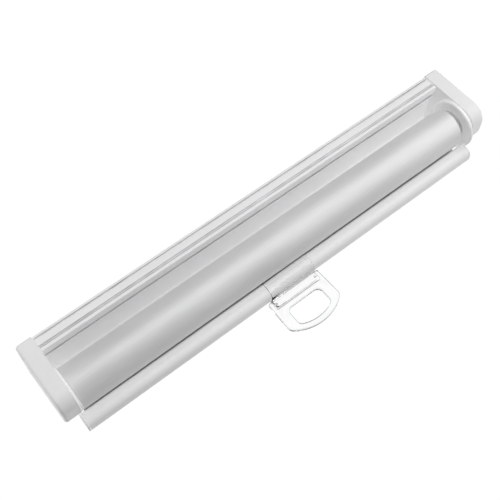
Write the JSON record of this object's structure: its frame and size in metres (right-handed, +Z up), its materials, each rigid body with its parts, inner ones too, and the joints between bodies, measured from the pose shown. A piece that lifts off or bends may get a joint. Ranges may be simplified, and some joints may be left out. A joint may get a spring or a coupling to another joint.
{
  "type": "roller blind",
  "caption": "Spring roller blind in a slim white cassette for a roof window: grey fabric on a sprung roller, bottom bar, sliding clear clip with a D-shaped pull ring.",
  "frame": {"origin": "centre of the head rail's flat back, which lies against the window frame", "axes": "+X along the rail, +Y into the window frame behind it, +Z up, so the blind pulls down along -Z"},
  "size_m": [0.4, 0.046, 0.1033],
  "materials": {
    "white_paint": "satin white powder coat",
    "white_plastic": "moulded, fine satin",
    "disc_plastic": "moulded, smooth",
    "grey_plastic": "moulded acetal",
    "clear_plastic": "clear, polished mould",
    "blind_fabric": "fine weave with a satin sheen",
    "aluminium": "mill finish",
    "steel": "zinc plated"
  },
  "bodies": {
    "cassette": {"head_rail": "white_paint", "end_cap_left": "white_plastic", "end_cap_right": "white_plastic", "cap_screw_left_front": "steel", "cap_screw_left_back": "steel", "cap_screw_right_front": "steel", "cap_screw_right_back": "steel", "idle_bush": "grey_plastic", "spring_spindle": "steel", "spindle_socket": "grey_plastic", "spring_collar": "grey_plastic", "torsion_spring": "steel"},
    "roller": {"roller_tube": "aluminium", "fabric_roll": "blind_fabric", "idle_plug": "disc_plastic", "idle_pin": "steel", "spring_plug": "disc_plastic", "spindle_bush": "grey_plastic"},
    "bar": {"bottom_bar": "white_paint", "bar_cap_left": "white_plastic", "bar_cap_right": "white_plastic", "hem_rod": "grey_plastic", "fabric_drop": "blind_fabric"},
    "clip": {"pull_clip": "clear_plastic"},
    "ring": {"pull_ring": "clear_plastic"}
  },
  "joints": [
    {"name": "bar_drop", "type": "slide", "parent": "cassette", "child": "bar", "axis": [0, 0, -1], "range_m": [0, 0.68], "deforming": ["fabric_drop"]},
    {"name": "roller_spin", "type": "hinge", "parent": "cassette", "child": "roller", "pos_m": [0, -0.0245, -0.0153], "axis": [-1, 0, 0], "range_deg": [0, 2520], "stiffness_Nm_per_rad": 0.00106, "springref_deg": -2521.01},
    {"name": "clip_slide", "type": "slide", "parent": "bar", "child": "clip", "axis": [1, 0, 0], "range_m": [-0.155, 0.155]},
    {"name": "ring_swing", "type": "hinge", "parent": "clip", "child": "ring", "pos_m": [-0.007, -0.0035, -0.0459], "axis": [-1, 0, 0], "range_deg": [-3, 80]}
  ],
  "couplings": [
    {"joint": "roller_spin", "follows": "bar_drop", "rad_per_m": 64.67}
  ]
}
